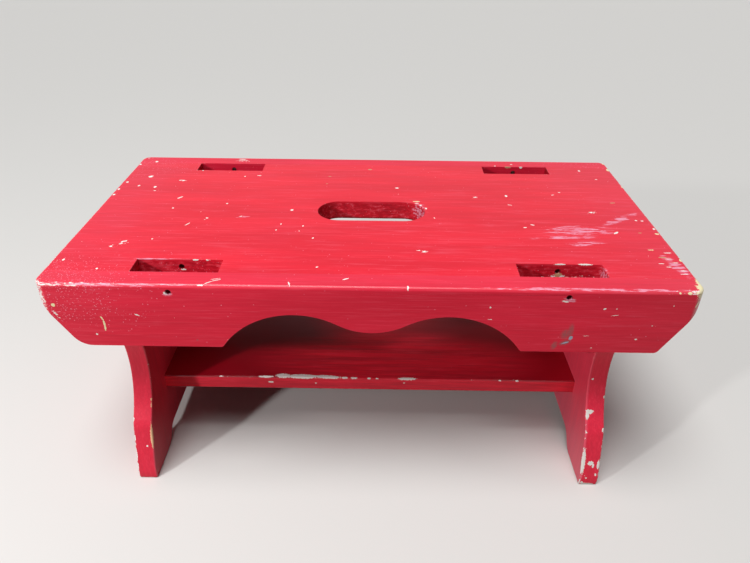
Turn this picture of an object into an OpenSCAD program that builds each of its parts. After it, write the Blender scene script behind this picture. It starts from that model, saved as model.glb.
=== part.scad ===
// Low wooden stool: a slotted top with a hand-hold, scalloped aprons,
// two shaped leg boards and a shelf between them, nailed together.
// X runs along the length, -Y is the front and Z = 0 is the floor.

/* [Top] */
// Length of the top
top_l = 486; // [440:1:540]
// Depth of the top over both aprons
top_d = 255; // [235:5:290]
// Height of the top above the floor
seat_h = 197; // [185:1:225]
// Thickness of the top board
top_t = 17; // [15:0.5:22]
// Rounding of the long arrises of the top
top_edge_r = 3.3; // [1:0.1:5]
// Rounding of the end arrises of the top
top_end_r = 2.5; // [1:0.1:4]
// Rounding of the aprons' outer corners in plan
corner_r = 9; // [5:1:17]

/* [Hand-hold] */
// Length of the hand-hold
grip_l = 95; // [80:1:110]
// Width of the hand-hold
grip_w = 39; // [28:1:42]

/* [Corner slots] */
// Length of a slot along the apron
slot_l = 66; // [50:1:72]
// Width of a slot
slot_w = 19; // [12:0.5:22]
// Wood between a slot and the leg below the top
slot_to_leg = 5.5; // [2:0.5:12]
// Diameter of the cross-pin hole through each slot
pin_hole_d = 4.2; // [3:0.1:6]
// Depth of the pin holes' axis below the top
pin_drop = 6.5; // [5:0.5:9]
// Depth of a pin hole past its slot
pin_bite = 12; // [6:1:20]

/* [Aprons] */
// Thickness of an apron
apron_t = 18; // [14:0.5:20]
// Height of an apron
apron_h = 55.5; // [50:0.5:64]
// Height of the square part of an apron's end
end_square = 15; // [12:1:26]
// Slope of an apron's end below that, from upright
end_slope = 31; // [20:0.5:40]
// Radius where the end starts to slope
end_break_r = 38; // [10:1:40]
// Radius of the rounded lower corner
soft_corner_r = 16; // [4:1:24]
// Radius of the crisp lower corner
crisp_corner_r = 4; // [1:1:12]

/* [Scallop] */
// Distance from the scallops' middle to the crown of each
scallop_x = 58; // [50:1:66]
// Shift of the scallops along the apron, off its middle
scallop_shift = 2.4; // [0:0.1:6]
// Radius of the two scallops
scallop_r = 65; // [60:1:72]
// Height of a scallop's crown above the apron's lower edge
scallop_h = 30.5; // [24:0.5:34]
// Drop of the middle point below the crowns
scallop_drop = 15.5; // [10:0.5:20]
// Radius of the lip where a scallop leaves the lower edge
lip_r = 3; // [1:0.5:6]

/* [Legs] */
// Thickness of a leg board
leg_t = 16; // [12:0.5:20]
// Distance from the end of the top to a leg's outer face
leg_set_in = 43.5; // [30:0.5:50]
// Distance from the aprons' lower edge down to the waist
waist_below = 36; // [30:1:44]
// Depth of the waist behind the aprons' inner faces
waist_depth = 8.2; // [4:0.1:12]
// Radius of the waist
waist_r = 80; // [65:1:100]
// Turn of the waist's curve down to the shoulder
waist_turn = 37; // [32:1:42]
// Radius of the shoulder above a foot
shoulder_r = 30; // [20:1:40]
// Distance that a foot stands out past the aprons
foot_out = 5; // [2:0.5:8]
// Height of a foot's upright toe
toe_h = 10; // [5:1:15]
// Length of a foot on the floor
foot_l = 34; // [26:1:44]
// Height of the arch between the feet
foot_arch_h = 14; // [8:1:20]
// Length of the arch's curve at each foot
foot_arch_run = 26; // [22:1:34]

/* [Shelf] */
// Thickness of the shelf
shelf_t = 13.5; // [10:0.5:18]
// Height of the shelf's upper face above the floor
shelf_z = 68; // [55:1:85]
// Distance from an apron's outer face back to the shelf's edge
shelf_set_back = 52; // [45:1:70]
// Rounding of the shelf's long arrises
shelf_edge_r = 1.6; // [0.5:0.1:3]
// Depth of the housing that holds each end of the shelf
housing_depth = 5; // [3:0.5:7]
// Play round the shelf in its housings
housing_play = 0.1; // [0.05:0.05:0.3]

/* [Nails] */
// Length of a nail from the surface to its point
nail_l = 45; // [38:1:50]
// Diameter of a nail's shank
nail_d = 2.4; // [2:0.1:2.8]
// Diameter of a nail's head
head_d = 3.8; // [3.2:0.1:4.6]
// Height of a nail's head
head_h = 1.6; // [1.2:0.1:2.4]
// Length of a nail's point
point_l = 3; // [2:0.5:5]
// Depth that the heads are punched below the surface
punch = 1.5; // [1:0.1:2.5]
// Play round a nail in the wood
nail_play = 0.1; // [0.05:0.05:0.2]

/* [Hidden] */
$fn = 48;
corner_steps = 8;
curve_steps = 20;
plan_steps = 6;                          // straight steps round an apron's corner in plan
past = 1;                                // how far a cutter runs past a face
paint = "#c3283c";
steel = "#8d9196";
front = -1;
rear = 1;
left = -1;
right = 1;

half_l = top_l / 2;
half_d = top_d / 2;
board_half_d = half_d - apron_t;         // the top board's edge and the aprons' inner face
board_z = seat_h - top_t;                // underside of the top board
apron_z = seat_h - apron_h;              // lower edge of the aprons
end_foot_x = half_l - (apron_h - end_square) * tan(end_slope);

crown = [-scallop_x, scallop_h - scallop_r];
point_r = (scallop_x ^ 2 + scallop_drop ^ 2) / (2 * scallop_drop) - scallop_r;
point = [0, scallop_h - scallop_drop + point_r];
point_turn = atan2(point.y - crown.y, point.x - crown.x);
lip = [crown.x - sqrt((scallop_r + lip_r) ^ 2 - (lip_r - crown.y) ^ 2), lip_r];
lip_turn = atan2(crown.y - lip.y, crown.x - lip.x);

leg_outer_x = half_l - leg_set_in;
leg_inner_x = leg_outer_x - leg_t;
leg_mid_x = leg_outer_x - leg_t / 2;
slot_x = leg_inner_x - slot_to_leg - slot_l / 2;
pin_z = seat_h - pin_drop;

waist_z = apron_z - waist_below;
waist_centre = [board_half_d - waist_depth + waist_r, waist_z];
waist_start = acos(1 - waist_depth / waist_r);
shoulder_centre = waist_centre - (waist_r + shoulder_r) * [cos(waist_turn), sin(waist_turn)];
foot_y = half_d + foot_out;
toe = [foot_y, toe_h];
to_toe = toe - shoulder_centre;
toe_turn = atan2(to_toe.y, to_toe.x) + acos(shoulder_r / norm(to_toe));
heel_y = foot_y - foot_l;
foot_arch_r = (foot_arch_run ^ 2 + foot_arch_h ^ 2) / (4 * foot_arch_h);
foot_arch_turn = 2 * atan(foot_arch_h / foot_arch_run);

shelf_half_w = half_d - shelf_set_back;
shelf_half_l = leg_inner_x + housing_depth;
shelf_mid_z = shelf_z - shelf_t / 2;

end_nail_x = (slot_x + slot_l / 2 + half_l) / 2;
mid_nail_x = (slot_x - slot_l / 2) / 2;
apron_inner_h = apron_h - top_t;         // height of the apron below the top board
leg_nail_y = board_half_d * 0.6;         // outer nails down into a leg
shelf_nail_y = shelf_half_w * 0.65;      // outer nails into the shelf's ends

// Points along an arc about a centre, from one angle to another
function arc(centre, r, from, to, steps = curve_steps) =
    [for (i = [0 : steps])
        let (a = from + (to - from) * i / steps) centre + r * [cos(a), sin(a)]];

// The corner at b, between a and c, rounded to the radius r
function rounded_corner(a, b, c, r) =
    let (
        to_a = (a - b) / norm(a - b),
        to_c = (c - b) / norm(c - b),
        half = acos(to_a * to_c) / 2,
        centre = b + (to_a + to_c) / norm(to_a + to_c) * r / sin(half),
        start = b + to_a * r / tan(half) - centre,
        from = atan2(start.y, start.x),
        turn = (180 - 2 * half) * sign(cross(to_c, to_a))
    )
    arc(centre, r, from, from + turn, corner_steps);

// An outline from corners given as [x, y, radius]
function rounded_outline(corners) =
    let (n = len(corners), p = [for (c = corners) [c.x, c.y]])
    [for (i = [0 : n - 1])
        each corners[i].z > 0
            ? rounded_corner(p[(i + n - 1) % n], p[i], p[(i + 1) % n], corners[i].z)
            : [p[i]]];

// A point list followed by its mirror image about the upright axis, where a point comes once
function mirrored(points) =
    concat(points, [for (i = [len(points) - 1 : -1 : 0])
        if (points[i].x != 0) [-points[i].x, points[i].y]]);

// Extrudes an outline drawn in X and Z, from one Y to another
module extrude_y(from, to) {
    translate([0, to, 0]) rotate([90, 0, 0]) linear_extrude(to - from) children();
}

// Extrudes an outline drawn in Y and Z, from one X to another
module extrude_x(from, to) {
    translate([from, 0, 0]) rotate([90, 0, 90]) linear_extrude(to - from) children();
}

// Nail, its head punched in and its point down, below the surface at z = 0
module nail() {
    rotate_extrude() polygon([
        [0, -punch], [head_d / 2, -punch], [nail_d / 2, -punch - head_h],
        [nail_d / 2, point_l - nail_l], [0, -nail_l]]);
}

// Hole that a nail and its filling leave in the wood
module nail_hole() {
    r = nail_d / 2 + nail_play;
    mouth_r = head_d / 2 + nail_play;
    rotate_extrude() polygon([
        [0, past], [mouth_r, past], [mouth_r, -punch], [r, -punch - head_h],
        [r, point_l - nail_l], [0, -nail_l - nail_play]]);
}

// Filling that levels the surface over a punched head
module filling() {
    translate([0, 0, -punch]) cylinder(d = head_d, h = punch);
}

// Places of the nails through an apron into the top board's edge
module at_apron_to_top(sides = [front, rear]) {
    for (side = sides, end = [left, right], x = [mid_nail_x, end_nail_x])
        translate([end * x, side * half_d, seat_h - top_t / 2])
            rotate([-90 * side, 0, 0]) children();
}

// Places of the nails through an apron into a leg's edge
module at_apron_to_leg(sides = [front, rear], ends = [left, right]) {
    for (side = sides, end = ends, share = [0.25, 0.75])
        translate([end * leg_mid_x, side * half_d, board_z - share * apron_inner_h])
            rotate([-90 * side, 0, 0]) children();
}

// Places of the nails through the top board into a leg
module at_top_to_leg(ends = [left, right]) {
    for (end = ends, y = [-leg_nail_y, 0, leg_nail_y])
        translate([end * leg_mid_x, y, seat_h]) children();
}

// Places of the nails through a leg into the shelf's end
module at_leg_to_shelf(ends = [left, right]) {
    for (end = ends, y = [-shelf_nail_y, 0, shelf_nail_y])
        translate([end * leg_outer_x, y, shelf_mid_z])
            rotate([0, 90 * end, 0]) children();
}

// Cross-pin holes, from an apron's face across each slot into its far wall
module pin_holes(sides = [front, rear]) {
    reach = apron_t + slot_w + pin_bite;
    for (side = sides, end = [left, right])
        translate([end * slot_x, side * (half_d + past), pin_z])
            rotate([90 * side, 0, 0]) cylinder(d = pin_hole_d, h = reach + past);
}

// Hand-hold: a slot with half-round ends
module grip_outline() {
    straight = grip_l - grip_w;
    square([straight, grip_w], center = true);
    for (end = [left, right]) translate([end * straight / 2, 0]) circle(d = grip_w);
}

module top_board() {
    color(paint) difference() {
        extrude_y(-board_half_d, board_half_d) polygon(rounded_outline([
            [-half_l, board_z, 0], [half_l, board_z, 0],
            [half_l, seat_h, top_end_r], [-half_l, seat_h, top_end_r]]));
        translate([0, 0, board_z - past]) linear_extrude(top_t + 2 * past) grip_outline();
        for (side = [front, rear], end = [left, right])
            translate([end * slot_x, side * (board_half_d - slot_w / 2 + past / 2), seat_h - top_t / 2])
                cube([slot_l, slot_w + past, top_t + 2 * past], center = true);
        pin_holes();
        at_apron_to_top() nail_hole();
        at_top_to_leg() nail_hole();
    }
}

// Left half of the scalloped edge: a lip, a crown and half of the middle point
function scallop_edge() = concat(
    arc(lip, lip_r, -90, lip_turn, corner_steps),
    arc(crown, scallop_r, lip_turn + 180, point_turn),
    arc(point, point_r, point_turn - 180, -90, corner_steps));

// Outline of an apron: square then sloping ends, one lower corner soft and one crisp,
// and the scallops along the lower edge
module apron_outline() {
    polygon(concat(
        rounded_outline([
            [end_foot_x, 0, crisp_corner_r],
            [half_l, apron_h - end_square, end_break_r], [half_l, apron_h, top_end_r],
            [-half_l, apron_h, top_end_r], [-half_l, apron_h - end_square, end_break_r],
            [-end_foot_x, 0, soft_corner_r]]),
        [for (p = mirrored(scallop_edge())) p + [scallop_shift, 0]]));
}

// Cutter for one straight step round an apron's corner, with the step's upper arris
module corner_step() {
    clear = 2 * corner_r;
    extrude_y(-corner_r, corner_r) polygon(concat(
        [[corner_r, apron_z - past]],
        arc([corner_r - top_end_r, seat_h - top_end_r], top_end_r, 0, 90, corner_steps),
        [[corner_r - top_end_r, seat_h + past], [clear, seat_h + past],
            [clear, apron_z - past]]));
}

// Apron as it stands at the front, with its outer upper arris and outer corners rounded
module apron() {
    difference() {
        intersection() {
            extrude_y(-half_d, -board_half_d) translate([0, apron_z]) apron_outline();
            extrude_x(-half_l, half_l) polygon(rounded_outline([
                [-half_d, apron_z, 0], [-board_half_d, apron_z, 0],
                [-board_half_d, seat_h, 0], [-half_d, seat_h, top_edge_r]]));
        }
        for (end = [left, right], i = [1 : plan_steps - 1])
            translate([end * (half_l - corner_r), corner_r - half_d, 0])
                rotate([0, 0, end * (90 - 90 * i / plan_steps) - 90]) corner_step();
    }
}

module front_apron() {
    color(paint) difference() {
        apron();
        pin_holes([front]);
        at_apron_to_top([front]) nail_hole();
        at_apron_to_leg([front]) nail_hole();
    }
}

// The rear apron is cut like the front one and turned round
module rear_apron() {
    color(paint) difference() {
        rotate([0, 0, 180]) apron();
        pin_holes([rear]);
        at_apron_to_top([rear]) nail_hole();
        at_apron_to_leg([rear]) nail_hole();
    }
}

// Half of a leg's outline: straight behind the apron, a hollow waist, a rounded
// shoulder, a straight run to the toe, and an ogee up into the arch
function leg_edge() = concat(
    [[board_half_d, board_z]],
    arc(waist_centre, waist_r, 180 - waist_start, 180 + waist_turn),
    arc(shoulder_centre, shoulder_r, waist_turn, toe_turn, corner_steps),
    [toe, [foot_y, 0]],
    arc([heel_y, foot_arch_r], foot_arch_r, -90, -90 - foot_arch_turn, corner_steps),
    arc([heel_y - foot_arch_run, foot_arch_h - foot_arch_r], foot_arch_r,
        90 - foot_arch_turn, 90, corner_steps));

// Leg board at one end, with its stopped housing for the shelf
module leg(end) {
    from = end == left ? -leg_outer_x : leg_inner_x;
    color(paint) difference() {
        extrude_x(from, from + leg_t) polygon(mirrored(leg_edge()));
        translate([end * leg_inner_x, 0, shelf_mid_z])
            cube([2 * housing_depth, 2 * (shelf_half_w + housing_play), shelf_t + 2 * housing_play],
                center = true);
        at_top_to_leg([end]) nail_hole();
        at_apron_to_leg(ends = [end]) nail_hole();
        at_leg_to_shelf([end]) nail_hole();
    }
}

module left_leg() { leg(left); }

module right_leg() { leg(right); }

module shelf() {
    color(paint) difference() {
        extrude_x(-shelf_half_l, shelf_half_l) polygon(rounded_outline([
            [-shelf_half_w, shelf_z - shelf_t, shelf_edge_r],
            [shelf_half_w, shelf_z - shelf_t, shelf_edge_r],
            [shelf_half_w, shelf_z, shelf_edge_r],
            [-shelf_half_w, shelf_z, shelf_edge_r]]));
        at_leg_to_shelf() nail_hole();
    }
}

module apron_to_top_nails() { color(steel) at_apron_to_top() nail(); }

module apron_to_leg_nails() { color(steel) at_apron_to_leg() nail(); }

module top_to_leg_nails() { color(steel) at_top_to_leg() nail(); }

module leg_to_shelf_nails() { color(steel) at_leg_to_shelf() nail(); }

module nail_fillings() {
    color(paint) {
        at_apron_to_top() filling();
        at_apron_to_leg() filling();
        at_top_to_leg() filling();
        at_leg_to_shelf() filling();
    }
}

top_board();
front_apron();
rear_apron();
left_leg();
right_leg();
shelf();
apron_to_top_nails();
apron_to_leg_nails();
top_to_leg_nails();
leg_to_shelf_nails();
nail_fillings();
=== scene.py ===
import math

import bmesh
import bpy
from mathutils import Matrix, Vector


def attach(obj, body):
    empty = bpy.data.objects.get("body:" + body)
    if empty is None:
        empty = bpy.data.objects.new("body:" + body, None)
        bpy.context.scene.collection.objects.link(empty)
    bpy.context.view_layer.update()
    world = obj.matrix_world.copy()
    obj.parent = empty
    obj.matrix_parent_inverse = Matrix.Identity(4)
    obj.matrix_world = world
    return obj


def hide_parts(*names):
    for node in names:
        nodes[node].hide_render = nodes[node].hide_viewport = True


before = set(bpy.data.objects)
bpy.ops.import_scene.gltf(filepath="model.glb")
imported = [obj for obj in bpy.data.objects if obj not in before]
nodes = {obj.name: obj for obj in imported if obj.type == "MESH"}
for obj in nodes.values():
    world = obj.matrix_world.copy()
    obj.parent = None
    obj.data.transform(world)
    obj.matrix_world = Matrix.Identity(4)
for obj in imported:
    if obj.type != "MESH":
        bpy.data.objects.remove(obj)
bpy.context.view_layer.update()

scene = bpy.context.scene
scene.view_settings.view_transform = "Standard"
mm = 0.001


# camera, fitted to the corners of the top, the aprons and the legs

cameraLook = {
    "place": (0.0080, -0.5082, 0.4379),
    "pitch": 31.764,                    # degrees below the horizon
    "yaw": -0.477,
    "roll": 0.530,
    "focalPixels": 629.3,
    "imageWidth": 750,
    "sensorWidth": 36,
}


def placeCamera(look):
    lens = bpy.data.cameras.new("camera")
    lens.sensor_width = look["sensorWidth"]
    lens.sensor_fit = "HORIZONTAL"
    lens.lens = look["focalPixels"] / look["imageWidth"] * look["sensorWidth"]
    made = bpy.data.objects.new("camera", lens)
    turn = (Matrix.Rotation(math.radians(-look["yaw"]), 4, "Z")
            @ Matrix.Rotation(math.radians(90 - look["pitch"]), 4, "X")
            @ Matrix.Rotation(math.radians(look["roll"]), 4, "Z"))
    made.matrix_world = Matrix.Translation(look["place"]) @ turn
    scene.collection.objects.link(made)
    scene.camera = made


placeCamera(cameraLook)
print("camera placed")


# shader maths: a socket that takes + - * / ** and makes any other node

class Wire:
    def __init__(self, tree, socket=None):
        self.tree, self.socket = tree, socket

    def make(self, kind, settings=None, values=None, output=0):
        node = self.tree.nodes.new(kind)
        for name, value in (settings or {}).items():
            setattr(node, name, value)
        for name, value in (values or {}).items():
            if isinstance(value, Wire):
                self.tree.links.new(value.socket, node.inputs[name])
            else:
                node.inputs[name].default_value = value
        return Wire(self.tree, node.outputs[output] if node.outputs else None)

    def maths(self, operation, *terms):
        isVector = any(isinstance(t, tuple) or isinstance(t, Wire) and t.socket.type == "VECTOR"
                       for t in terms)
        kind = "ShaderNodeVectorMath" if isVector else "ShaderNodeMath"
        if isVector:
            terms = [(t, t, t) if isinstance(t, (int, float)) else t for t in terms]
        output = "Value" if operation == "LENGTH" else 0
        return self.make(kind, {"operation": operation}, dict(enumerate(terms)), output)

    def __add__(self, other): return self.maths("ADD", self, other)
    def __radd__(self, other): return self.maths("ADD", other, self)
    def __sub__(self, other): return self.maths("SUBTRACT", self, other)
    def __rsub__(self, other): return self.maths("SUBTRACT", other, self)
    def __mul__(self, other): return self.maths("MULTIPLY", self, other)
    def __rmul__(self, other): return self.maths("MULTIPLY", other, self)
    def __truediv__(self, other): return self.maths("DIVIDE", self, other)
    def __rtruediv__(self, other): return self.maths("DIVIDE", other, self)
    def __pow__(self, other): return self.maths("POWER", self, other)
    def __rpow__(self, other): return self.maths("POWER", other, self)

    def size(self): return self.maths("ABSOLUTE", self)
    def least(self, other): return self.maths("MINIMUM", self, other)
    def most(self, other): return self.maths("MAXIMUM", self, other)
    def length(self): return self.maths("LENGTH", self)

    def between(self, low, high):       # 0 at low, 1 at high, smooth between, either way round
        return self.make("ShaderNodeMapRange", {"interpolation_type": "SMOOTHSTEP"},
                         {"Value": self, "From Min": low, "From Max": high})

    def axes(self):
        return [self.make("ShaderNodeSeparateXYZ", None, {0: self}, k) for k in range(3)]

    def noise(self, stretch=(1, 1, 1), scale=1.0, detail=2.0, rough=0.5, colour=False):
        return self.make("ShaderNodeTexNoise", None,
                         {"Vector": self * stretch, "Scale": scale, "Detail": detail,
                          "Roughness": rough}, "Color" if colour else 0)

    def blend(self, low, high):         # the colour low where this is 0, high where it is 1
        return self.make("ShaderNodeMix", {"data_type": "RGBA"}, {0: self, 6: low, 7: high}, 2)


def newMaterial(name):
    made = bpy.data.materials.new(name)
    made.use_nodes = True
    made.node_tree.nodes.clear()
    return made, Wire(made.node_tree)


def finishMaterial(made, wire, values):
    shader = wire.make("ShaderNodeBsdfPrincipled", None, values)
    wire.make("ShaderNodeOutputMaterial", None, {"Surface": shader})
    return made


def millimetres(wire):                  # where on the piece, in millimetres
    return wire.make("ShaderNodeTexCoord", output="Object") * 1000


# studio: a plain pale floor, a broad soft light overhead and a smaller one from the front left

studioLook = {
    "floorSize": 12.0,
    "floor": (0.70, 0.69, 0.67, 1),
    "floorBounce": (0.24, 0.19, 0.145, 1),   # what the floor throws back on to the object
    "floorRoughness": 0.9,
    "floorGloss": 0.1,
    "world": (0.86, 0.87, 0.89, 1),
    "ambient": 0.06,
    # kind, towards the light, distance, aim, settings
    "overhead": ("SUN", (-0.14, -0.20, 1), 2.0, (0, 0, 0.1), {"energy": 2.75, "angle": 0.65}),
    "key": ("AREA", (-1.60, -1.55, 1.24), 1.1, (-0.15, -0.06, 0.07), {"energy": 5.6, "size": 0.07}),
}


def shownRay(wire):                     # 1 where the camera, a reflection or glass looks
    straight, mirrored, through = (
        wire.make("ShaderNodeLightPath", output=name)
        for name in ("Is Camera Ray", "Is Glossy Ray", "Is Transmission Ray"))
    return straight.most(mirrored).most(through)


def placeLight(name, kind, towards, distance, aim, settings):
    lamp = bpy.data.lights.new(name, kind)
    for key, value in settings.items():
        setattr(lamp, key, value)
    made = bpy.data.objects.new(name, lamp)
    out = Vector(towards).normalized()
    made.matrix_world = (Matrix.Translation(Vector(aim) + out * distance)
                         @ out.to_track_quat("Z", "Y").to_matrix().to_4x4())
    scene.collection.objects.link(made)


def buildStudio(look):
    shape = bmesh.new()
    bmesh.ops.create_grid(shape, x_segments=1, y_segments=1, size=look["floorSize"] / 2)
    mesh = bpy.data.meshes.new("floor")
    shape.to_mesh(mesh)
    shape.free()
    floor = bpy.data.objects.new("floor", mesh)
    scene.collection.objects.link(floor)
    material, wire = newMaterial("paleFloor")
    seen = shownRay(wire)
    finishMaterial(material, wire, {
        "Base Color": seen.blend(look["floorBounce"], look["floor"]),
        "Roughness": look["floorRoughness"], "Specular IOR Level": look["floorGloss"]})
    mesh.materials.append(material)

    sky = bpy.data.worlds.new("studio")
    sky.use_nodes = True
    sky.node_tree.nodes.clear()
    wire = Wire(sky.node_tree)
    seen = shownRay(wire)
    strength = seen * (1 - look["ambient"]) + look["ambient"]
    glow = wire.make("ShaderNodeBackground", None, {"Color": look["world"], "Strength": strength})
    wire.make("ShaderNodeOutputWorld", None, {"Surface": glow})
    scene.world = sky

    for name in ("overhead", "key"):
        placeLight(name, *look[name])


buildStudio(studioLook)
print("studio built")


# boards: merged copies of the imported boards, their filled nail holes closed and arrises eased

boardLook = {
    "weldGap": 0.06 * mm,
    "flatTurn": math.radians(0.4),       # faces that turn less than this become one
    "sharpTurn": math.radians(40),       # edges that turn more than this are eased
    "widest": 1.3 * mm,                  # the easing that a weight of 1 stands for
    "easeSteps": 3,
    "slack": 0.1 * mm,                   # how near a plane counts as on it
    "sideFace": 127.5 * mm,
    "topFace": 197 * mm,
    "pinX": 145 * mm,
    "pinZ": 190.5 * mm,
    "pinReach": 2.8 * mm,                # how far a cross pin's hole and its easing lie from its axis
    "nailReach": 2.15 * mm,              # how far a nail hole's wall lies from its axis
    "legX": 191.5 * mm,
    "legFace": 199.5 * mm,
    "apronNailsX": (56 * mm, 210.5 * mm),
    "apronNailsZ": 188.5 * mm,
    "legNailsZ": (170.375 * mm, 151.125 * mm),
    "topNailsY": (-65.7 * mm, 0, 65.7 * mm),
    "shelfNailsY": (-49.075 * mm, 0, 49.075 * mm),
    "shelfNailsZ": 61.25 * mm,
}


def listNails(look):                    # where each nail goes in, and the way out along it
    found = []
    for end in (-1, 1):
        for side in (-1, 1):
            rows = [(end * x, look["apronNailsZ"]) for x in look["apronNailsX"]]
            rows += [(end * look["legX"], z) for z in look["legNailsZ"]]
            found += [(Vector((x, side * look["sideFace"], z)), Vector((0, side, 0)))
                      for x, z in rows]
        found += [(Vector((end * look["legX"], y, look["topFace"])), Vector((0, 0, 1)))
                  for y in look["topNailsY"]]
        found += [(Vector((end * look["legFace"], y, look["shelfNailsZ"])), Vector((end, 0, 0)))
                  for y in look["shelfNailsY"]]
    return found


nails = listNails(boardLook)


def inNailHole(face):
    return any(all((v.co - at).cross(out).length < boardLook["nailReach"] for v in face.verts)
               for at, out in nails)


def nearPin(at):
    return math.hypot(abs(at.x) - boardLook["pinX"], at.z - boardLook["pinZ"]) < boardLook["pinReach"]


def copyBoard(node, easing):
    shape = bmesh.new()
    shape.from_mesh(nodes[node].data)
    bmesh.ops.remove_doubles(shape, verts=shape.verts, dist=boardLook["weldGap"])
    bmesh.ops.delete(shape, geom=[f for f in shape.faces if inNailHole(f)], context="FACES")
    bmesh.ops.holes_fill(shape, edges=[e for e in shape.edges if e.is_boundary])
    bmesh.ops.dissolve_limit(shape, angle_limit=boardLook["flatTurn"], verts=shape.verts,
                             edges=shape.edges)
    bmesh.ops.recalc_face_normals(shape, faces=shape.faces)
    weight = shape.edges.layers.float.new("bevel_weight_edge")
    for edge in shape.edges:
        if edge.calc_face_angle() > boardLook["sharpTurn"]:
            width = easing((edge.verts[0].co + edge.verts[1].co) / 2)
            edge[weight] = width / boardLook["widest"]
            edge.smooth = width > 0
    return shape


def finishPiece(name, shape, node, material):
    for face in shape.faces:
        face.smooth = True
    mesh = bpy.data.meshes.new(name)
    shape.to_mesh(mesh)
    shape.free()
    mesh.materials.append(material)
    made = bpy.data.objects.new(name, mesh)
    scene.collection.objects.link(made)
    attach(made, "root")
    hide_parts(node)
    return made


def easeArrises(piece):
    eased = piece.modifiers.new("easedArrises", "BEVEL")
    eased.limit_method = "WEIGHT"
    eased.width = boardLook["widest"]
    eased.segments = boardLook["easeSteps"]
    eased.profile = 0.5
    flats = piece.modifiers.new("flatFaces", "WEIGHTED_NORMAL")
    flats.keep_sharp = True


# red paint over white primer over pale wood, worn by lists of marks; lengths in millimetres

paintLook = {
    "red": (0.78, 0.0145, 0.036, 1),
    "brightRed": (0.88, 0.0185, 0.043, 1),
    "pinkRed": (0.78, 0.030, 0.066, 1),
    "sideRed": (0.78, 0.0150, 0.048, 1),  # the aprons and legs are a little bluer than the top: a painted tint of bluer light on the upright faces
    "sideBrightRed": (0.88, 0.020, 0.060, 1),
    # lighter copies of the reds: painted light on the shelf, which sits under the top
    "shelfRed": (0.88, 0.0155, 0.042, 1),
    "shelfBrightRed": (0.97, 0.020, 0.050, 1),
    "paintedShadeRed": (0.21, 0.012, 0.016, 1),   # painted shade under the top board, on inner faces and in the cross pins' holes
    # painted shade on the shelf and on the walls of the cut-outs
    "deepShadeRed": (0.34, 0.003, 0.012, 1),
    "primer": (0.96, 0.93, 0.90, 1),
    "wood": (0.94, 0.84, 0.50, 1),
    "tanWood": (0.62, 0.36, 0.20, 1),
    "buff": (0.92, 0.56, 0.32, 1),
    "scuff": (0.93, 0.42, 0.58, 1),
    "smudge": (0.20, 0.15, 0.15, 1),
    "blueDab": (0.40, 0.46, 0.60, 1),

    # a board's own settings go before those below
    "gloss": 0.25,
    "roughness": 0.40,
    "hairRoughness": 0.25,
    "strokeHeight": 0.05,
    "hairHeight": 0.06,
    "bumpReach": 1.0 * mm,                # a height of 1, in metres

    # brush marks: noise along the grain and across it, per millimetre
    "strokeAlong": 0.008,
    "strokeScale": 0.24,
    "streaks": 0.30,
    "hairAlong": 0.028,
    "hairScale": 0.85,
    "hairTone": 0.34,
    "haze": 0.05,
    "hazeEdge": (0.50, 0.72),
    "bands": (0.006, 0.035),              # the two reds take turns in broad bands
    "bandEdge": (0.35, 0.68),
    "cloudScale": 0.02,
    "cloudEdge": (0.5, 0.8),
    "cloudPale": 0.25,
    "endSpan": (150, 245),                # the paint pales towards the stool's ends
    "endPale": 0.55,
    "fade": 1,
    "paintedShadeShare": 0.85,

    # what makes the edges of marks ragged
    "gritScale": 0.9,
    "wobble": 1.5,
    "speckWobble": 0.6,
    "crumbleScale": 0.8,
    "crumble": (1.3, 0.4),                # how far a mark's edge swings, and its least
    "markEdge": (1.04, 0.93),
    "markRoughness": 0.3,
    "mottleEdge": (0.5, 0.75),            # where a mark shows a little of the other layer
    "mottle": 0.3,

    # faint scuffs, soft smudges, and flecks that break up along the grain
    "scuffStretch": (0.10, 1.1, 1.1),
    "scuffPull": 0.12,
    "scuffEdge": (0.52, 0.62),
    "scuffReach": (1.25, 0.85),
    "scuffShare": 0.8,
    "scuffRoughness": 0.2,
    "smudgeReach": (1.3, 0.35),
    "smudgeEdge": (0.15, 0.60),
    "smudgeShare": 0.62,
    "fleckStretch": (0.40, 0.75),
    "fleckLimit": 0.5,
    "fleckPull": 0.22,
    "fleckEdge": (0.60, 0.64),
    "fleckRoughness": 0.2,

    # specks: cells per millimetre, then the least radius and its spread in cells
    "specks": (0.16, 0.035, 0.06),        # bare primer
    "dust": (0.80, 0.20, 0.24),           # finer and paler
    "dustShare": 0.8,
    "speckEdge": (1.0, 0.55),
    "speckStep": 0.02,
    "speckTint": (0.6, 0.35),             # how far their strength swings, and its least

    # the worn and polished arrises
    "arrisEdge": (0.25, 0.8),
    "flakes": (0.22, 0.7),
    "wearPull": 0.22,
    "wearEdge": (0.70, 0.75),
    "wearRoughness": 0.25,
    "wearDepth": 0.08,
    "polish": 0.5,
    "polishSpan": (20, 230),
    "polishMiddle": 0.4,                  # the share of the polish that is left at mid length
    "polishRoughness": 0.20,

    "boreEdge": (6.4, 5.0),               # squared distance from a cross pin's axis
}


def marks(place, rows):                 # distance from the nearest mark's middle, 1 at its edge
    near = None
    for x, y, z, halfX, halfY, halfZ, *turn in rows:
        inside = place.make("ShaderNodeMapping", {"vector_type": "TEXTURE"},
                            {"Vector": place, "Location": (x, y, z),
                             "Rotation": [math.radians(t) for t in (turn or (0, 0, 0))],
                             "Scale": (halfX, halfY, halfZ)})
        near = inside.length() if near is None else near.least(inside.length())
    return near


def specks(place, share, look, scale, least, spread):  # spots in a random share of cells
    reach = place.make("ShaderNodeTexVoronoi", None, {"Vector": place, "Scale": scale})
    chance, breadth, tint = Wire(place.tree, reach.socket.node.outputs["Color"]).axes()
    inside = (reach / (breadth * breadth * spread + least)).between(*look["speckEdge"])
    tintSpread, tintLeast = look["speckTint"]
    return (inside * chance.between(1 - share, 1 + look["speckStep"] - share)
            * (tint * tintSpread + tintLeast))


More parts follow.
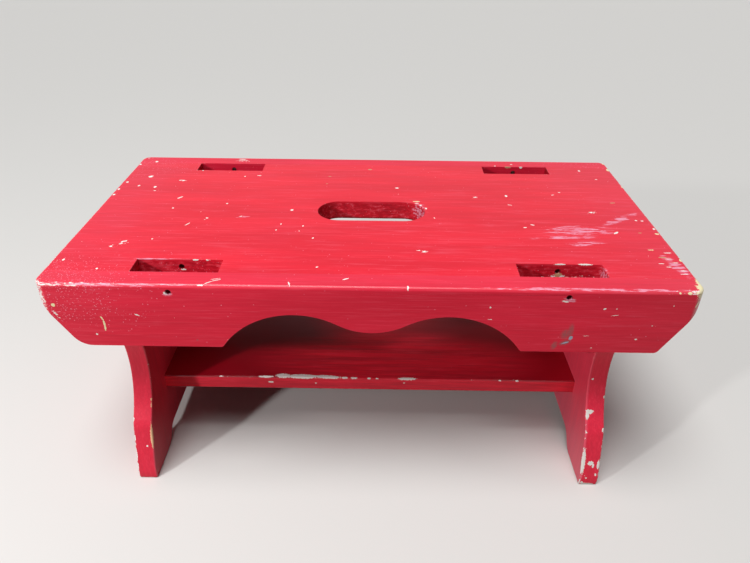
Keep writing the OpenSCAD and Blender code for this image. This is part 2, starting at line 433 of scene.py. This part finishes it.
def grained(look, place, along, across, detail, rough=0.5):  # noise stretched along the grain
    stretch = tuple(along if k == look["along"] else across for k in range(3))
    return place.noise(stretch, detail=detail, rough=rough)


def brushedCoat(look, place, x):        # two reds in bands, paler towards the ends, with brush marks
    strokes = grained(look, place, look["strokeAlong"], look["strokeScale"], detail=3, rough=0.6)
    hairs = grained(look, place, look["hairAlong"], look["hairScale"], detail=4, rough=0.7)
    stroke, hair = strokes - 0.5, hairs - 0.5     # above or below their average
    bands = grained(look, place, *look["bands"], detail=2).between(*look["bandEdge"])
    colour = bands.blend(look["red"], look["brightRed"])
    cloud = place.noise(scale=look["cloudScale"], detail=2).between(*look["cloudEdge"])
    pale = x.size().between(*look["endSpan"]) * look["endPale"] + cloud * look["cloudPale"]
    colour = (pale * look["fade"]).blend(colour, look["pinkRed"])
    tone = stroke * look["streaks"] + hair * look["hairTone"] + 1
    colour = place.make("ShaderNodeCombineXYZ", None, {0: tone, 1: tone, 2: tone}) * colour
    colour = (hairs.between(*look["hazeEdge"]) * look["haze"]).blend(colour, look["scuff"])
    height = stroke * look["strokeHeight"] + hair * look["hairHeight"]
    rough = look["roughness"] + hair * look["hairRoughness"]
    return colour, height, rough


def addScuffs(look, place, colour, rough):
    drawn = place.noise(look["scuffStretch"], detail=4, rough=0.7)
    near = marks(place, look["scuffs"])
    scuffed = (drawn + (1 - near) * look["scuffPull"]).between(*look["scuffEdge"])
    scuffed = scuffed * near.between(*look["scuffReach"])
    colour = (scuffed * look["scuffShare"]).blend(colour, look["scuff"])
    return colour, rough + scuffed * look["scuffRoughness"]


def addFlecks(look, place, colour, rough):        # patches that break up along the grain
    inside = (1 - marks(place, look["flecks"])).least(look["fleckLimit"])
    broken = grained(look, place, *look["fleckStretch"], detail=3, rough=0.7)
    flecked = (broken + inside * look["fleckPull"]).between(*look["fleckEdge"])
    colour = flecked.blend(colour, look["primer"])
    return colour, rough + flecked * look["fleckRoughness"]


def addChips(look, wobbly, crumble, colour, rough):  # down to one layer, mottled with another
    ragged, least = look["crumble"]
    for key, base, other in (("primerMarks", "primer", "wood"), ("woodMarks", "wood", "primer"),
                             ("tanMarks", "tanWood", "primer"), ("buffMarks", "buff", "primer"),
                             ("blueMarks", "blueDab", "primer")):
        if key in look:
            bare = (marks(wobbly, look[key]) * (crumble * ragged + least)).between(*look["markEdge"])
            mottled = crumble.between(*look["mottleEdge"]) * look["mottle"]
            colour = bare.blend(colour, mottled.blend(look[base], look[other]))
            rough = rough + bare * look["markRoughness"]
    return colour, rough


def paintedBoard(name, own):
    look = {**paintLook, **own}
    material, wire = newMaterial(name)
    place = millimetres(wire)
    facing = wire.make("ShaderNodeTexCoord", output="Normal")
    x, y, z = place.axes()
    colour, height, rough = brushedCoat(look, place, x)
    # painted shade under the top, on inner faces and in the cross pins' holes
    if "darker" in look:
        colour = (look["darker"](x, y, z) * look["paintedShadeShare"]).blend(colour, look["paintedShadeRed"])
    # painted shade on the shelf and on the walls of the cut-outs
    if "deepShade" in look:
        colour = look["deepShade"](x, y, z).blend(colour, look["deepShadeRed"])
    # a painted sheen, blended in the scuff colour
    if "sheen" in look:
        colour = look["sheen"](x, y, z).blend(colour, look["scuff"])

    grit = place.noise(scale=look["gritScale"], detail=2, colour=True) - 0.5
    wobbly = place + grit * look["wobble"]
    jittered = place + grit * look["speckWobble"]
    crumble = place.noise(scale=look["crumbleScale"], detail=3, rough=0.65)
    if "scuffs" in look:
        colour, rough = addScuffs(look, place, colour, rough)
    if "smudges" in look:
        dirty = marks(wobbly, look["smudges"]).between(*look["smudgeReach"])
        dirty = dirty * crumble.between(*look["smudgeEdge"]) * look["smudgeShare"]
        colour = dirty.blend(colour, look["smudge"])
    chips = specks(jittered, look["speckDensity"](x, y, z), look, *look["specks"])
    colour = chips.blend(colour, look["primer"])
    if "dustDensity" in look:
        dust = specks(jittered, look["dustDensity"](x, y, z), look, *look["dust"])
        colour = (dust * look["dustShare"]).blend(colour, look["scuff"])

    # an arris is where the surface leans 45 degrees from the board's flat; there primer flakes bare
    lean = facing.axes()[look["thin"]].size()
    arris = (lean * (1 - lean * lean).most(0.0) ** 0.5 * 2).between(*look["arrisEdge"])
    flakes = grained(look, place, *look["flakes"], detail=4, rough=0.65)
    wear = look["arrisWear"](x, y, z) * look["wearPull"]
    worn = (flakes + wear).between(*look["wearEdge"]) * arris
    colour = worn.blend(colour, look["primer"])
    rough = rough + worn * look["wearRoughness"]
    height = height - worn * look["wearDepth"]
    if "flecks" in look:
        colour, rough = addFlecks(look, place, colour, rough)
    colour, rough = addChips(look, wobbly, crumble, colour, rough)

    normal = wire.make("ShaderNodeBump", None, {
        "Height": height, "Distance": look["bumpReach"], "Strength": 1.0})
    left = look["polishMiddle"]
    handled = arris * (x.size().between(*look["polishSpan"]) * (1 - left) + left)
    return finishMaterial(material, wire, {
        "Base Color": colour, "Roughness": rough, "Normal": normal,
        "Coat Weight": handled * look["polish"], "Coat Roughness": look["polishRoughness"],
        "Specular IOR Level": look["gloss"]})


def shadedBore(x, z):                       # 1 inside the cross pins' holes, where painted shade goes
    side, up = x.size() - boardLook["pinX"] / mm, z - boardLook["pinZ"] / mm
    return (side * side + up * up).between(*paintLook["boreEdge"])


# a mark is a row of place and half size along x, y and z in millimetres, then its turn in degrees
# about x, y and z where it has one; a mark on a flat face needs fewer numbers

def onTop(rows, depth=3):               # place and half size along x and y, turn
    level = boardLook["topFace"] / mm
    return [(x, y, level, halfX, halfY, depth, 0, 0, *(turn or [0]))
            for x, y, halfX, halfY, *turn in rows]


def onSide(side, rows, depth=2):        # place and half size along x and z, turn; side -1 is the front
    level = side * boardLook["sideFace"] / mm
    return [(x, level, z, halfX, depth, halfZ, 0, *(turn or [0]), 0)
            for x, z, halfX, halfZ, *turn in rows]


def dressBoard(name, node, easing, paintName, paint):
    painted = paintedBoard(paintName, paint)
    easeArrises(finishPiece(name, copyBoard(node, easing), node, painted))


# top board

topBoardLook = {
    "ease": 0.9 * mm,
    "holeEase": 0.35 * mm,
    "seamEase": 0.3 * mm,
    "seamLow": 190 * mm,                 # the seam is eased above this height
    "halfDepth": 109.5 * mm,             # where the board meets the aprons
    "wallTop": (196.2, 194.0),           # where the walls of the cut-outs begin below the top
    "wallEnds": (236, 230),              # the board's own ends are no such walls
    "blotches": ((0.5, 1, 1), 0.34),     # how the painted shade and sheen on those walls are mottled
    "paint": {
        "along": 0, "thin": 2,           # the axis of the grain, and that of the thickness
        "gloss": 0.15,
        # painted shade under the board and inside the cross pins' holes
        "darker": lambda x, y, z: z.between(182, 180.5).most(shadedBore(x, z)),
        # painted shade and a painted sheen on the walls of the cut-outs, both mottled
        "deepShade": lambda x, y, z: cutWalls(x, z) * blotches(x, y, z).between(0.64, 0.36) * 0.50,
        "sheen": lambda x, y, z: cutWalls(x, z) * blotches(x, y, z).between(0.52, 0.80) * 0.25,
        "strokeScale": 0.15, "hairScale": 0.50, "streaks": 0.14, "hairTone": 0.20, "haze": 0.13,
        "speckDensity": lambda x, y, z: (
            x.between(-160, -235) * (0.18 + y.between(20, 100) * 0.25)
            + x.between(150, 240) * 0.10 + y.between(10, 40) * 0.05 + 0.05),
        "dustDensity": lambda x, y, z: (
            x.between(-165, -232) * (y.between(-70, -112) + y.between(60, 110)) * 0.80
            + cutWalls(x, z) * 0.10 + 0.03),
        "arrisWear": lambda x, y, z: (
            x.size().between(180, 240) * 0.4 + y.size().between(80, 89) * 0.2 + 0.2),
        "fleckStretch": (0.28, 0.42), "scuffStretch": (0.07, 0.5, 0.5),
        "scuffs": onTop([
            (176, -34, 30, 9, 2), (159, -47, 25, 3, 4), (217, -11, 22, 4, 34), (172.5, -57.5, 17, 4, 6),
            (234, -90, 5, 17, 12), (-111, -15.7, 7, 1.6, 8),
        ], depth=6) + [
            # pale pink on the walls facing left at the right ends of the front right slot and the
            # hand-hold, partly scuffs and partly painted sheen, then a painted highlight along the rear
            # rim of the front left slot
            (178, -100, 190, 2.5, 12, 9), (43, 8, 190, 7, 13, 9), (-162, -90.2, 197, 22, 0.9, 1.2),
        ],
        "flecks": onTop([
            (-197.9, -64.4, 3.6, 4.6), (-204.5, -71.0, 4.4, 2.6, 20), (196, 2.6, 6, 2.6),
            (94.8, 31.6, 3.6, 1.6, 30), (41.3, -72.4, 4.4, 2.0, -20), (-110.8, -14.6, 5.4, 1.8, 12),
            (-185.6, 62.6, 4.4, 2.6), (-143, -20.5, 1.6, 2.6, -30), (-204, 39, 4, 1.8),
        ]) + [
            (150, -90.4, 184, 26, 3, 4), (-172, 90.6, 190, 8, 3, 8), (172, 90.6, 190, 12, 3, 8),
        ],
        "primerMarks": onTop([
            (-219.2, 72.2, 2.0, 2.6, -25), (-225.7, 112.7, 1.4, 2.2), (-207.2, 46.6, 1.4, 1.9),
            (-223.5, 49.4, 1.1, 1.5), (-176.8, 23.2, 3.4, 0.8, 52), (-130.9, 11.5, 1.0, 1.2),
            (-155.5, -30.6, 3.2, 0.5, 62), (-233.8, -93.3, 1.0, 1.5), (-203.2, -106.1, 0.9, 1.2),
            (-177.0, -58.3, 0.7, 0.9), (-176.7, 0.6, 0.8, 1.1), (-70.6, -0.4, 1.3, 1.7),
            (-126.7, 75.5, 0.8, 1.0), (-112.9, 78.0, 2.2, 0.7), (-57.3, -31.5, 0.6, 1.2),
            (-79.0, -39.5, 0.6, 1.1), (-76.4, -28.3, 0.6, 1.1), (-59.6, -40.8, 0.5, 1.1),
            (-46.8, -52.9, 0.7, 1.1), (-39.2, -99.5, 1.3, 0.7, 20), (23.6, 51.4, 1.8, 1.3),
            (125.3, 35.9, 1.3, 1.8), (210.4, 100.8, 1.2, 1.6), (177.1, 45.8, 1.3, 0.8),
            (235.0, -13.5, 1.2, 0.9), (230.0, -12.8, 1.1, 0.9), (205.2, -36.9, 2.6, 1.1, 35),
            (55.1, -12.8, 0.7, 1.3), (138.1, -24.0, 1.9, 0.8, -20), (235.5, -86.0, 2.6, 0.5),
            (228.0, -92.5, 2.2, 0.5), (237.0, -98.0, 2.2, 0.5), (235.4, -70.4, 3.2, 0.6),
            (232.4, -80.0, 2.6, 0.5), (235.5, -103.0, 3.0, 0.5), (224.5, -87.5, 2.4, 0.5),
            (169.5, 39.6, 1.8, 0.5, 20), (125.6, 16.0, 2.2, 0.6, -25), (221.4, 78.7, 1.4, 0.7),
            (130.7, -28.9, 1.4, 0.8),
        ]) + [
            (-237.4, 57.8, 196.4, 1.2, 1.6, 3), (-239.6, 40.8, 196.4, 1.2, 1.8, 3),
            (-239.6, 28.1, 196.4, 1.2, 1.8, 3), (-144.0, -91.0, 187.9, 2.6, 1.2, 0.7),
            (-238.7, 118.6, 196.6, 1.6, 1.6, 2), (-240.0, 104.3, 196.4, 1.3, 1.6, 2),
            (40.8, 17.2, 196.8, 2.0, 0.8, 0.9), (44.4, 12.9, 196.7, 1.3, 1.2, 0.9),
            (48.8, 6.3, 196.8, 0.9, 1.6, 0.9), (-133.6, -90.8, 196.7, 2.8, 0.9, 1.0),
            (-124.2, -91.0, 196.6, 2.0, 0.8, 1.2), (239.9, -28.6, 196.6, 1.1, 1.6, 3),
            (145.9, -90.4, 196.9, 4.2, 0.7, 0.8), (165.2, -90.1, 196.9, 6.0, 0.9, 0.8, 0, 0, -3),
        ],
        "woodMarks": onTop([
            (239.0, -37.8, 2.2, 1.3), (224.0, -65.8, 2.8, 0.6),
        ]) + [
            (240.6, 104.0, 196.8, 1.6, 3.2, 2), (241.6, 60.7, 196.2, 1.4, 2.2, 2),
            (241.0, -82.0, 196.4, 1.2, 2.2, 2), (40.7, 21.0, 196.6, 3.4, 0.9, 1.6),
        ],
        "tanMarks": onTop([
            (220.7, 23.2, 2.8, 0.9, 8), (-3.2, 97.8, 2.2, 1.2), (-42.6, 78.2, 1.6, 0.7),
            (-44.1, 59.7, 1.4, 0.6, 30), (225.4, -36.3, 1.4, 0.6), (228.7, -77.7, 3.4, 0.8),
        ]) + [
            (145.6, -90.9, 187.6, 3.0, 1.2, 2.2),
        ],
    },
}


def cutWalls(x, z):                     # 1 on the walls of the slots and the hand-hold, 0 on the faces
    return z.between(*topBoardLook["wallTop"]) * x.size().between(*topBoardLook["wallEnds"])


def blotches(x, y, z):
    stretch, scale = topBoardLook["blotches"]
    place = x.make("ShaderNodeCombineXYZ", None, {0: x, 1: y, 2: z})
    return place.noise(stretch, scale=scale, detail=3, rough=0.65)


def buildTopBoard(look):
    def easing(at):
        if abs(at.y) > look["halfDepth"] - boardLook["slack"]:
            return look["seamEase"] if at.z > look["seamLow"] else 0
        return look["holeEase"] if nearPin(at) else look["ease"]

    dressBoard("topBoard", "top_board", easing, "topBoardPaint", look["paint"])


buildTopBoard(topBoardLook)
print("top board built")


# aprons

apronLook = {
    "ease": 1.0 * mm,
    "holeEase": 1.0 * mm,
    "seamEase": 0.3 * mm,
    "seamLow": 188 * mm,                 # the seam is eased above this height
    "innerFace": 109.5 * mm,
    "outerHalf": 120 * mm,               # beyond this an edge is on the outer face
    "front": {
        "along": 0, "thin": 1,
        # painted shade on the inner face below the top board and inside the cross pins' holes
        "darker": lambda x, y, z: (y.between(-111, -110) * z.between(181, 179)).most(shadedBore(x, z)),
        "polish": 0.9, "haze": 0.09, "streaks": 0.18, "hairScale": 1.1, "hairTone": 0.30,
        "red": paintLook["sideRed"], "brightRed": paintLook["sideBrightRed"],
        "speckDensity": lambda x, y, z: x.between(-120, -232) * 0.16 + 0.03,
        "dustDensity": lambda x, y, z: x.between(-138, -225) * z.between(150, 172) * 0.8 + 0.02,
        "arrisWear": lambda x, y, z: (
            x.between(-165, -238) * 0.85 + x.between(205, 238) * z.between(186, 194) * 0.4 + 0.10),
        "flecks": [
            (-240.0, -123.5, 194.5, 5.0, 5, 3.4), (-238.0, -124.5, 184.0, 2.2, 4.5, 8.0, 0, -26, 0),
            (-232.0, -126.5, 171.0, 1.1, 2.5, 5.0, 0, -30, 0), (235, -125.5, 195.6, 6, 3, 1.4),
        ],
        "scuffs": [
            # the first two run along the front top arris, where the pale pink is partly scuffs and
            # partly a painted highlight; the other two are round the cross pins' holes
            (-190, -126.4, 196.0, 58, 1.3, 1.5), (158, -125.4, 196.4, 82, 1.5, 1.4),
            (144.6, -127.5, 187.9, 5.2, 3, 2.6), (-145.6, -127.5, 189.2, 3.6, 3, 2.2),
        ],
        "primerMarks": onSide(-1, [
            (-204.9, 152.1, 0.9, 0.9), (-214.2, 141.9, 0.6, 0.6), (-171.1, 170.2, 2.2, 0.45, 25),
            (89.1, 181.3, 0.7, 0.7), (172.2, 181.3, 1.1, 0.7, -25), (180.9, 181.5, 0.5, 0.4),
            (180.7, 175.7, 3.0, 0.24, -8), (200.8, 154.2, 1.1, 0.6), (168.8, 145.6, 0.45, 0.4),
            (89.8, 170.6, 1.8, 0.3), (221.4, 184.8, 0.5, 0.4), (163.0, 156.8, 2.4, 0.2),
            (209.8, 166.8, 0.5, 0.35), (-146.6, 189.7, 2.0, 1.0, 15), (142.4, 187.3, 2.6, 0.7, 10),
        ]) + [
            (-16.7, -116.2, 197, 2.4, 0.7, 3, 0, 0, 28), (-57.4, -123.5, 196.6, 0.5, 3.0, 2, 0, 0, 18),
            (28.5, -126.4, 196.4, 0.6, 2.0, 2.4), (-121.2, -126.4, 196.6, 2.6, 0.6, 1.0),
            (-115.8, -123.5, 197, 3.6, 0.45, 2, 0, 0, 38), (-110.4, -120.2, 197, 3.6, 0.4, 2, 0, 0, 22),
            (-112.0, -118.6, 197, 3.4, 0.3, 2, 0, 0, 16),
        ],
        "woodMarks": onSide(-1, [
            (-231.5, 178.1, 1.5, 1.6), (-198.0, 166.7, 0.55, 2.3, -21), (-197.2, 162.6, 0.75, 2.7, -3),
            (-197.35, 158.1, 0.7, 2.9, 6),
        ]) + [
            (242.2, -116.0, 196.2, 3.2, 8.0, 2.4), (240.0, -122.5, 193.8, 5.0, 6.5, 4.6),
            (238.6, -125.6, 185.5, 0.7, 2.4, 3.0, 0, 22, 0), (230.5, -126.8, 195.2, 1.5, 1.6, 1.1),
            (223.4, -126.8, 195.4, 0.9, 1.6, 0.9), (236.5, -125.5, 195.2, 3.0, 2.0, 1.3),
        ],
        "smudges": [
            (151.0, -127.5, 161.5, 2.2, 3, 6.6), (147.6, -127.5, 158.2, 3.8, 3, 5.0, 0, 20, 0),
            (148.2, -127.5, 150.4, 5.0, 3, 2.4, 0, -22, 0),
            (140.6, -127.5, 147.6, 2.4, 3, 4.2, 0, 14, 0), (-129.4, -127.5, 148.0, 0.8, 2, 0.8),
        ],
        "blueMarks": onSide(-1, [
            (151.9, 154.8, 1.5, 2.0, 18), (148.4, 150.2, 2.9, 0.7, -22),
        ]),
    },
    "rear": {
        "along": 0, "thin": 1,
        # painted shade on the inner face below the top board and inside the cross pins' holes
        "darker": lambda x, y, z: (y.between(111, 110) * z.between(181, 179)).most(shadedBore(x, z)),
        "polish": 0.9, "gloss": 0.15, "haze": 0.09, "streaks": 0.18, "hairScale": 1.1,
        "red": paintLook["sideRed"], "brightRed": paintLook["sideBrightRed"],
        "speckDensity": lambda x, y, z: x.size().between(150, 240) * 0.12 + 0.03,
        "dustDensity": lambda x, y, z: x.size().between(150, 235) * 0.35 + 0.02,
        "arrisWear": lambda x, y, z: x.size().between(170, 238) * 0.5 + 0.15,
        "flecks": [
            (-146, 127.5, 188.2, 4.0, 2, 2.4), (144.5, 127.5, 188.4, 3.4, 2, 2.2),
            (-236, 124, 190, 5, 6, 8), (-136, 118, 197, 8, 2.2, 2),
        ],
        "primerMarks": onSide(1, [
            (60.0, 178.0, 1.4, 0.9), (-96.0, 158.0, 1.0, 1.2), (203.0, 172.0, 1.6, 0.8),
            (-210.0, 186.0, 1.1, 0.9), (145.5, 187.8, 2.2, 1.1),
        ]) + [
            (-225.6, 112.4, 197, 1.5, 2.0, 3), (-138.0, 122.0, 196.8, 4.0, 0.8, 2),
            (152.6, 109.7, 196.8, 1.8, 0.9, 1.4), (143.7, 116.6, 197, 1.3, 0.8, 3),
            (126.3, 111.8, 197, 1.0, 0.8, 3),
        ],
        "woodMarks": [
            (-241.6, 121.5, 195.8, 1.6, 3.0, 1.8), (240.8, 122.0, 195.2, 1.8, 3.6, 2.4),
        ],
        "tanMarks": [
            (138.8, 109.8, 196.6, 3.6, 0.8, 1.3),
        ],
    },
}


def buildApron(look, name, node, paint):
    def easing(at):
        if nearPin(at) and abs(at.y) > look["outerHalf"]:
            return look["holeEase"]
        if abs(at.y) < look["innerFace"] + boardLook["slack"] and at.z > look["seamLow"]:
            return look["seamEase"]
        return look["ease"]

    dressBoard(name, node, easing, name + "Paint", paint)


buildApron(apronLook, "frontApron", "front_apron", apronLook["front"])
buildApron(apronLook, "rearApron", "rear_apron", apronLook["rear"])
print("aprons built")


# legs

legLook = {
    "ease": 1.3 * mm,
    "housing": (53 * mm, 70 * mm),       # the shelf's housing stays sharp
    "housingHalf": 77 * mm,
    "jointLow": 179 * mm,                # and so does the end under the top board
    "left": {
        "along": 2, "thin": 0, "fade": 0.8,
        "red": paintLook["sideRed"], "brightRed": paintLook["sideBrightRed"],
        "speckDensity": lambda x, y, z: z.between(70, 5) * 0.10 + 0.02,
        "arrisWear": lambda x, y, z: z.between(75, 20) * x.between(-190, -198) * 0.9 + 0.2,
        "sheen": lambda x, y, z: x.between(-185.5, -184) * (z.between(80, 20) * 0.08 + 0.01) + 0.02,
        "primerMarks": [
            (-188.9, -126.4, 32.5, 0.9, 1.5, 0.8), (-199.0, -124.9, 40.0, 0.8, 3.0, 3.0),
            (-199.0, -128.9, 25.0, 0.8, 2.0, 6.0), (-199.0, -131.5, 13.0, 0.8, 2.0, 4.0),
            (-199.0, -118.0, 56.0, 0.7, 1.5, 2.0),
        ],
        "buffMarks": [
            (-184.0, -124.6, 40.0, 1.6, 1.9, 13.0, -19, 0, 0),
            (-184.2, -112.6, 66.4, 0.9, 1.5, 3.8, -30, 0, 0), (-184.2, -109.6, 70.6, 0.7, 1.2, 1.2),
        ],
    },
    "right": {
        "along": 2, "thin": 0, "fade": 0.8,
        # lighter copies of the side reds: painted light on this leg's inner face, which faces the key
        # light
        "red": (0.86, 0.0165, 0.054, 1), "brightRed": (0.94, 0.0215, 0.066, 1),
        "speckDensity": lambda x, y, z: z.between(60, 0) * 0.16 + 0.02,
        "arrisWear": lambda x, y, z: z.between(80, 15) * 0.9 + 0.2,
        "sheen": lambda x, y, z: x.between(186, 184.5) * (z.between(90, 10) * 0.13 + 0.07) + 0.02,
        "primerMarks": [
            (186.8, -112.3, 66.2, 3.4, 3.0, 2.0), (185.2, -113.4, 63.4, 1.5, 2.6, 4.0),
            (184.6, -121.1, 51.0, 0.8, 1.2, 0.9), (184.8, -128.6, 24.0, 1.7, 3.0, 12.5, -12, 0, 0),
            (191.2, -129.1, 22.8, 2.7, 2.0, 2.2), (193.4, -129.1, 20.0, 1.0, 2.0, 2.2),
            (197.8, -129.4, 21.3, 1.3, 2.2, 5.0), (198.4, -120.0, 53.2, 0.9, 1.6, 2.2),
            (198.6, -106.3, 77.7, 0.8, 1.6, 1.6), (187.0, -102.3, 93.6, 0.9, 1.2, 0.9),
            (190.5, -132.2, 1.2, 5.5, 1.6, 1.1), (186.2, -132.0, 2.6, 1.5, 2.0, 1.5),
            (188.9, -132.3, 8.3, 0.9, 1.2, 1.0), (196.5, -131.8, 12.0, 0.9, 1.2, 1.4),
        ],
    },
}


def buildLeg(look, name, node, paint):
    low, high = look["housing"]

    def easing(at):
        inHousing = low < at.z < high and abs(at.y) < look["housingHalf"]
        return 0 if inHousing or at.z > look["jointLow"] else look["ease"]

    dressBoard(name, node, easing, name + "Paint", paint)


buildLeg(legLook, "leftLeg", "left_leg", legLook["left"])
buildLeg(legLook, "rightLeg", "right_leg", legLook["right"])
print("legs built")


# shelf

shelfLook = {
    "ease": 0.8 * mm,
    "bareHalf": 183 * mm,                # the ends in the housings stay sharp
    "litPatch": {"middle": (25, -48), "half": (125, 42), "edge": (0.1, 1.4)},  # millimetres; the patch that is left without painted shade
    "paint": {
        "along": 0, "thin": 2, "strokeScale": 0.16, "hairScale": 0.4, "streaks": 1.0,
        "hairTone": 0.8, "haze": 0.05, "gloss": 0.15, "polish": 1.0, "fade": 0.1,
        "red": paintLook["shelfRed"], "brightRed": paintLook["shelfBrightRed"],
        # painted shade over the shelf outside its lit middle, and half of it towards the right end
        "deepShade": lambda x, y, z: (
            (outsideLitPatch(x, y) * y.between(-75.6, -75.2)).most(x.between(166, 184) * 0.5)),
        "sheen": lambda x, y, z: y.between(-75.2, -75.6) * 0.05,
        "speckDensity": lambda x, y, z: 0.02,
        "arrisWear": lambda x, y, z: 0.15,
        "primerMarks": [
            (-92.5, -74.9, 68.0, 7.0, 1.3, 1.2), (-77.0, -73.2, 68.0, 7.0, 2.8, 1.6),
            (-60.0, -73.8, 68.0, 15.0, 2.6, 2.0), (-38.0, -74.0, 68.0, 13.0, 2.0, 1.6, 0, 0, -3),
            (-22.0, -74.9, 68.0, 3.0, 1.3, 1.2), (-13.6, -75.1, 68.0, 3.1, 1.2, 1.2),
            (-0.2, -75.2, 67.8, 1.7, 1.0, 1.0), (7.0, -75.3, 67.8, 1.3, 0.9, 0.9),
            (33.8, -75.0, 67.8, 8.5, 1.5, 1.5), (116.8, -75.4, 67.6, 1.3, 0.9, 0.9),
            (132.1, -75.4, 67.4, 1.8, 1.0, 1.0), (-88.3, -75.5, 62.3, 2.6, 1.2, 0.9),
            (-47.9, -75.5, 61.7, 1.0, 1.2, 0.7), (31.3, -75.5, 63.2, 0.9, 1.2, 0.6),
            (-132.7, -75.4, 67.9, 2.2, 1.0, 0.8),
        ],
    },
}


def outsideLitPatch(x, y):                    # 0 in the shelf's lit middle, 1 where painted shade goes
    litPatch = shelfLook["litPatch"]
    side = (x - litPatch["middle"][0]) / litPatch["half"][0]
    back = (y - litPatch["middle"][1]) / litPatch["half"][1]
    return (side * side + back * back).between(*litPatch["edge"])


def buildShelf(look):
    def easing(at):
        return look["ease"] if abs(at.x) < look["bareHalf"] else 0

    dressBoard("shelfBoard", "shelf", easing, "shelfPaint", look["paint"])


buildShelf(shelfLook)
print("shelf built")


# fillings over the nail heads, just under the paint

fillingLook = {
    "radius": 1.9 * mm,
    "depth": 1.5 * mm,
    "under": 0.3 * mm,
    "sides": 24,
    "putty": (0.62, 0.47, 0.30, 1),
    "crumbScale": 2.0,
    "crumbEdge": (0.3, 0.7),
    "crumbHeight": 0.08,
    "roughness": (0.8, 0.1),             # the least, and how much the crumb adds
}


def buildFillings(look):
    shape = bmesh.new()
    middle = (look["under"] + look["depth"]) / 2
    for at, out in nails:
        turn = out.to_track_quat("Z", "Y").to_matrix().to_4x4()
        bmesh.ops.create_cone(shape, cap_ends=True, segments=look["sides"], radius1=look["radius"],
                              radius2=look["radius"], depth=look["depth"] - look["under"],
                              matrix=Matrix.Translation(at - out * middle) @ turn)
    material, wire = newMaterial("filler")
    crumb = millimetres(wire).noise(scale=look["crumbScale"], detail=3)
    colour = crumb.between(*look["crumbEdge"]).blend(look["putty"], paintLook["wood"])
    normal = wire.make("ShaderNodeBump", None, {
        "Height": crumb * look["crumbHeight"], "Distance": mm})
    smoothest, added = look["roughness"]
    finishMaterial(material, wire, {
        "Base Color": colour, "Roughness": smoothest + crumb * added, "Normal": normal})
    finishPiece("fillings", shape, "nail_fillings", material)


buildFillings(fillingLook)


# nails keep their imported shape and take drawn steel

nailLook = {
    "steel": (0.50, 0.51, 0.53, 1),
    "darker": (0.34, 0.33, 0.33, 1),
    "drawnScale": 0.8,
    "drawnEdge": (0.35, 0.7),
    "drawnHeight": 0.02,
    "roughness": (0.30, 0.2),            # the least, and how much the drawing adds
    "nodes": ("apron_to_top_nails", "apron_to_leg_nails", "top_to_leg_nails", "leg_to_shelf_nails"),
}


def finishNails(look):
    material, wire = newMaterial("drawnSteel")
    drawn = millimetres(wire).noise(scale=look["drawnScale"], detail=3)
    colour = drawn.between(*look["drawnEdge"]).blend(look["steel"], look["darker"])
    normal = wire.make("ShaderNodeBump", None, {
        "Height": drawn * look["drawnHeight"], "Distance": mm})
    smoothest, added = look["roughness"]
    finishMaterial(material, wire, {
        "Base Color": colour, "Metallic": 1.0, "Roughness": smoothest + drawn * added,
        "Normal": normal})
    for node in look["nodes"]:
        nodes[node].data.materials.clear()
        nodes[node].data.materials.append(material)


finishNails(nailLook)
print("fillings and nails finished")
